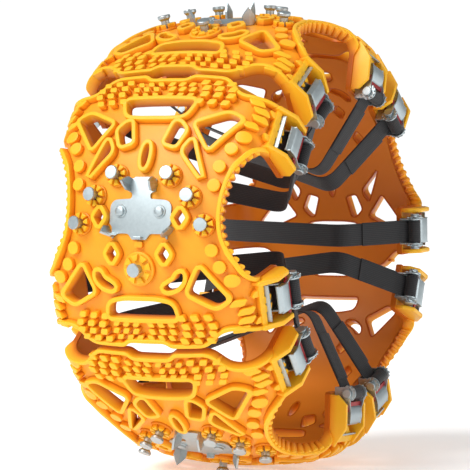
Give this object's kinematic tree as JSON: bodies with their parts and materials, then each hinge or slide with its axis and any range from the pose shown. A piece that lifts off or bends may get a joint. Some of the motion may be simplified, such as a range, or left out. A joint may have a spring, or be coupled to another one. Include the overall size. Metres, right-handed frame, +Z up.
{
  "type": "tire snow chains",
  "caption": "Segmented tyre snow chain set: ribbed polymer tread pads in a ring, with steel studs and claw plates, each tied to the wheel by webbing ratchets.",
  "frame": {"origin": "centre of the wheel, where the wheel axis crosses the tyre's middle plane", "axes": "+Y along the wheel axis towards the vehicle, -Y towards the outer face with the ratchets, +Z up"},
  "size_m": [0.6905, 0.3785, 0.6984],
  "materials": {
    "amber_tpu": "satin amber polyurethane",
    "zinc_steel": "bright zinc plate",
    "black_webbing": "woven polyester webbing",
    "red_pawl": "dark red coated steel"
  },
  "bodies": {
    "ring": {"pad_1": "amber_tpu", "pad_2": "amber_tpu", "pad_3": "amber_tpu", "pad_4": "amber_tpu", "pad_5": "amber_tpu", "claw_plate_1": "zinc_steel", "claw_plate_2": "zinc_steel", "claw_plate_3": "zinc_steel", "claw_plate_4": "zinc_steel", "claw_plate_5": "zinc_steel", "straps_1": "black_webbing", "straps_2": "black_webbing", "straps_3": "black_webbing", "straps_4": "black_webbing", "straps_5": "black_webbing", "studs": "zinc_steel", "claw_rivets": "zinc_steel", "ratchet_frames": "zinc_steel", "frame_rivets": "zinc_steel", "anchor_bars": "zinc_steel"},
    "spool_01": {"spool_01": "zinc_steel"},
    "handle_01": {"handle_01": "zinc_steel"},
    "lock_pawl_01": {"lock_pawl_01": "red_pawl"},
    "drive_pawl_01": {"drive_pawl_01": "red_pawl"},
    "spool_02": {"spool_02": "zinc_steel"},
    "handle_02": {"handle_02": "zinc_steel"},
    "lock_pawl_02": {"lock_pawl_02": "red_pawl"},
    "drive_pawl_02": {"drive_pawl_02": "red_pawl"},
    "spool_03": {"spool_03": "zinc_steel"},
    "handle_03": {"handle_03": "zinc_steel"},
    "lock_pawl_03": {"lock_pawl_03": "red_pawl"},
    "drive_pawl_03": {"drive_pawl_03": "red_pawl"},
    "spool_04": {"spool_04": "zinc_steel"},
    "handle_04": {"handle_04": "zinc_steel"},
    "lock_pawl_04": {"lock_pawl_04": "red_pawl"},
    "drive_pawl_04": {"drive_pawl_04": "red_pawl"},
    "spool_05": {"spool_05": "zinc_steel"},
    "handle_05": {"handle_05": "zinc_steel"},
    "lock_pawl_05": {"lock_pawl_05": "red_pawl"},
    "drive_pawl_05": {"drive_pawl_05": "red_pawl"},
    "spool_06": {"spool_06": "zinc_steel"},
    "handle_06": {"handle_06": "zinc_steel"},
    "lock_pawl_06": {"lock_pawl_06": "red_pawl"},
    "drive_pawl_06": {"drive_pawl_06": "red_pawl"},
    "spool_07": {"spool_07": "zinc_steel"},
    "handle_07": {"handle_07": "zinc_steel"},
    "lock_pawl_07": {"lock_pawl_07": "red_pawl"},
    "drive_pawl_07": {"drive_pawl_07": "red_pawl"},
    "spool_08": {"spool_08": "zinc_steel"},
    "handle_08": {"handle_08": "zinc_steel"},
    "lock_pawl_08": {"lock_pawl_08": "red_pawl"},
    "drive_pawl_08": {"drive_pawl_08": "red_pawl"},
    "spool_09": {"spool_09": "zinc_steel"},
    "handle_09": {"handle_09": "zinc_steel"},
    "lock_pawl_09": {"lock_pawl_09": "red_pawl"},
    "drive_pawl_09": {"drive_pawl_09": "red_pawl"},
    "spool_10": {"spool_10": "zinc_steel"},
    "handle_10": {"handle_10": "zinc_steel"},
    "lock_pawl_10": {"lock_pawl_10": "red_pawl"},
    "drive_pawl_10": {"drive_pawl_10": "red_pawl"}
  },
  "joints": [
    {"name": "spool_turn_01", "type": "hinge", "parent": "ring", "child": "spool_01", "pos_m": [-0.21457, -0.182, -0.06072], "axis": [-0.2723, 0, 0.9622], "continuous": true},
    {"name": "handle_lift_01", "type": "hinge", "parent": "ring", "child": "handle_01", "pos_m": [-0.21457, -0.182, -0.06072], "axis": [-0.2723, 0, 0.9622], "range_deg": [0, 150]},
    {"name": "lock_pawl_slide_01", "type": "slide", "parent": "ring", "child": "lock_pawl_01", "axis": [-0.9622, 0, -0.2723], "range_m": [0, 0.0035], "stiffness_N_per_m": 300},
    {"name": "drive_pawl_slide_01", "type": "slide", "parent": "handle_01", "child": "drive_pawl_01", "axis": [-0.9622, 0, -0.2723], "range_m": [0, 0.0035], "stiffness_N_per_m": 300},
    {"name": "spool_turn_02", "type": "hinge", "parent": "ring", "child": "spool_02", "pos_m": [-0.18531, -0.182, 0.12405], "axis": [0.5563, 0, 0.831], "continuous": true},
    {"name": "handle_lift_02", "type": "hinge", "parent": "ring", "child": "handle_02", "pos_m": [-0.18531, -0.182, 0.12405], "axis": [0.5563, 0, 0.831], "range_deg": [0, 150]},
    {"name": "lock_pawl_slide_02", "type": "slide", "parent": "ring", "child": "lock_pawl_02", "axis": [-0.831, 0, 0.5563], "range_m": [0, 0.0035], "stiffness_N_per_m": 300},
    {"name": "drive_pawl_slide_02", "type": "slide", "parent": "handle_02", "child": "drive_pawl_02", "axis": [-0.831, 0, 0.5563], "range_m": [0, 0.0035], "stiffness_N_per_m": 300},
    {"name": "spool_turn_03", "type": "hinge", "parent": "ring", "child": "spool_03", "pos_m": [-0.12405, -0.182, 0.18531], "axis": [0.831, 0, 0.5563], "continuous": true},
    {"name": "handle_lift_03", "type": "hinge", "parent": "ring", "child": "handle_03", "pos_m": [-0.12405, -0.182, 0.18531], "axis": [0.831, 0, 0.5563], "range_deg": [0, 150]},
    {"name": "lock_pawl_slide_03", "type": "slide", "parent": "ring", "child": "lock_pawl_03", "axis": [-0.5563, 0, 0.831], "range_m": [0, 0.0035], "stiffness_N_per_m": 300},
    {"name": "drive_pawl_slide_03", "type": "slide", "parent": "handle_03", "child": "drive_pawl_03", "axis": [-0.5563, 0, 0.831], "range_m": [0, 0.0035], "stiffness_N_per_m": 300},
    {"name": "spool_turn_04", "type": "hinge", "parent": "ring", "child": "spool_04", "pos_m": [0.06072, -0.182, 0.21457], "axis": [0.9622, 0, -0.2723], "continuous": true},
    {"name": "handle_lift_04", "type": "hinge", "parent": "ring", "child": "handle_04", "pos_m": [0.06072, -0.182, 0.21457], "axis": [0.9622, 0, -0.2723], "range_deg": [0, 150]},
    {"name": "lock_pawl_slide_04", "type": "slide", "parent": "ring", "child": "lock_pawl_04", "axis": [0.2723, 0, 0.9622], "range_m": [0, 0.0035], "stiffness_N_per_m": 300},
    {"name": "drive_pawl_slide_04", "type": "slide", "parent": "handle_04", "child": "drive_pawl_04", "axis": [0.2723, 0, 0.9622], "range_m": [0, 0.0035], "stiffness_N_per_m": 300},
    {"name": "spool_turn_05", "type": "hinge", "parent": "ring", "child": "spool_05", "pos_m": [0.1379, -0.182, 0.17525], "axis": [0.7859, 0, -0.6184], "continuous": true},
    {"name": "handle_lift_05", "type": "hinge", "parent": "ring", "child": "handle_05", "pos_m": [0.1379, -0.182, 0.17525], "axis": [0.7859, 0, -0.6184], "range_deg": [0, 150]},
    {"name": "lock_pawl_slide_05", "type": "slide", "parent": "ring", "child": "lock_pawl_05", "axis": [0.6184, 0, 0.7859], "range_m": [0, 0.0035], "stiffness_N_per_m": 300},
    {"name": "drive_pawl_slide_05", "type": "slide", "parent": "handle_05", "child": "drive_pawl_05", "axis": [0.6184, 0, 0.7859], "range_m": [0, 0.0035], "stiffness_N_per_m": 300},
    {"name": "spool_turn_06", "type": "hinge", "parent": "ring", "child": "spool_06", "pos_m": [0.22284, -0.182, 0.00856], "axis": [0.0384, 0, -0.9993], "continuous": true},
    {"name": "handle_lift_06", "type": "hinge", "parent": "ring", "child": "handle_06", "pos_m": [0.22284, -0.182, 0.00856], "axis": [0.0384, 0, -0.9993], "range_deg": [0, 150]},
    {"name": "lock_pawl_slide_06", "type": "slide", "parent": "ring", "child": "lock_pawl_06", "axis": [0.9993, 0, 0.0384], "range_m": [0, 0.0035], "stiffness_N_per_m": 300},
    {"name": "drive_pawl_slide_06", "type": "slide", "parent": "handle_06", "child": "drive_pawl_06", "axis": [0.9993, 0, 0.0384], "range_m": [0, 0.0035], "stiffness_N_per_m": 300},
    {"name": "spool_turn_07", "type": "hinge", "parent": "ring", "child": "spool_07", "pos_m": [0.20928, -0.182, -0.077], "axis": [-0.3453, 0, -0.9385], "continuous": true},
    {"name": "handle_lift_07", "type": "hinge", "parent": "ring", "child": "handle_07", "pos_m": [0.20928, -0.182, -0.077], "axis": [-0.3453, 0, -0.9385], "range_deg": [0, 150]},
    {"name": "lock_pawl_slide_07", "type": "slide", "parent": "ring", "child": "lock_pawl_07", "axis": [0.9385, 0, -0.3453], "range_m": [0, 0.0035], "stiffness_N_per_m": 300},
    {"name": "drive_pawl_slide_07", "type": "slide", "parent": "handle_07", "child": "drive_pawl_07", "axis": [0.9385, 0, -0.3453], "range_m": [0, 0.0035], "stiffness_N_per_m": 300},
    {"name": "spool_turn_08", "type": "hinge", "parent": "ring", "child": "spool_08", "pos_m": [0.077, -0.182, -0.20928], "axis": [-0.9385, 0, -0.3453], "continuous": true},
    {"name": "handle_lift_08", "type": "hinge", "parent": "ring", "child": "handle_08", "pos_m": [0.077, -0.182, -0.20928], "axis": [-0.9385, 0, -0.3453], "range_deg": [0, 150]},
    {"name": "lock_pawl_slide_08", "type": "slide", "parent": "ring", "child": "lock_pawl_08", "axis": [0.3453, 0, -0.9385], "range_m": [0, 0.0035], "stiffness_N_per_m": 300},
    {"name": "drive_pawl_slide_08", "type": "slide", "parent": "handle_08", "child": "drive_pawl_08", "axis": [0.3453, 0, -0.9385], "range_m": [0, 0.0035], "stiffness_N_per_m": 300},
    {"name": "spool_turn_09", "type": "hinge", "parent": "ring", "child": "spool_09", "pos_m": [-0.00856, -0.182, -0.22284], "axis": [-0.9993, 0, 0.0384], "continuous": true},
    {"name": "handle_lift_09", "type": "hinge", "parent": "ring", "child": "handle_09", "pos_m": [-0.00856, -0.182, -0.22284], "axis": [-0.9993, 0, 0.0384], "range_deg": [0, 150]},
    {"name": "lock_pawl_slide_09", "type": "slide", "parent": "ring", "child": "lock_pawl_09", "axis": [-0.0384, 0, -0.9993], "range_m": [0, 0.0035], "stiffness_N_per_m": 300},
    {"name": "drive_pawl_slide_09", "type": "slide", "parent": "handle_09", "child": "drive_pawl_09", "axis": [-0.0384, 0, -0.9993], "range_m": [0, 0.0035], "stiffness_N_per_m": 300},
    {"name": "spool_turn_10", "type": "hinge", "parent": "ring", "child": "spool_10", "pos_m": [-0.17525, -0.182, -0.1379], "axis": [-0.6184, 0, 0.7859], "continuous": true},
    {"name": "handle_lift_10", "type": "hinge", "parent": "ring", "child": "handle_10", "pos_m": [-0.17525, -0.182, -0.1379], "axis": [-0.6184, 0, 0.7859], "range_deg": [0, 150]},
    {"name": "lock_pawl_slide_10", "type": "slide", "parent": "ring", "child": "lock_pawl_10", "axis": [-0.7859, 0, -0.6184], "range_m": [0, 0.0035], "stiffness_N_per_m": 300},
    {"name": "drive_pawl_slide_10", "type": "slide", "parent": "handle_10", "child": "drive_pawl_10", "axis": [-0.7859, 0, -0.6184], "range_m": [0, 0.0035], "stiffness_N_per_m": 300}
  ]
}
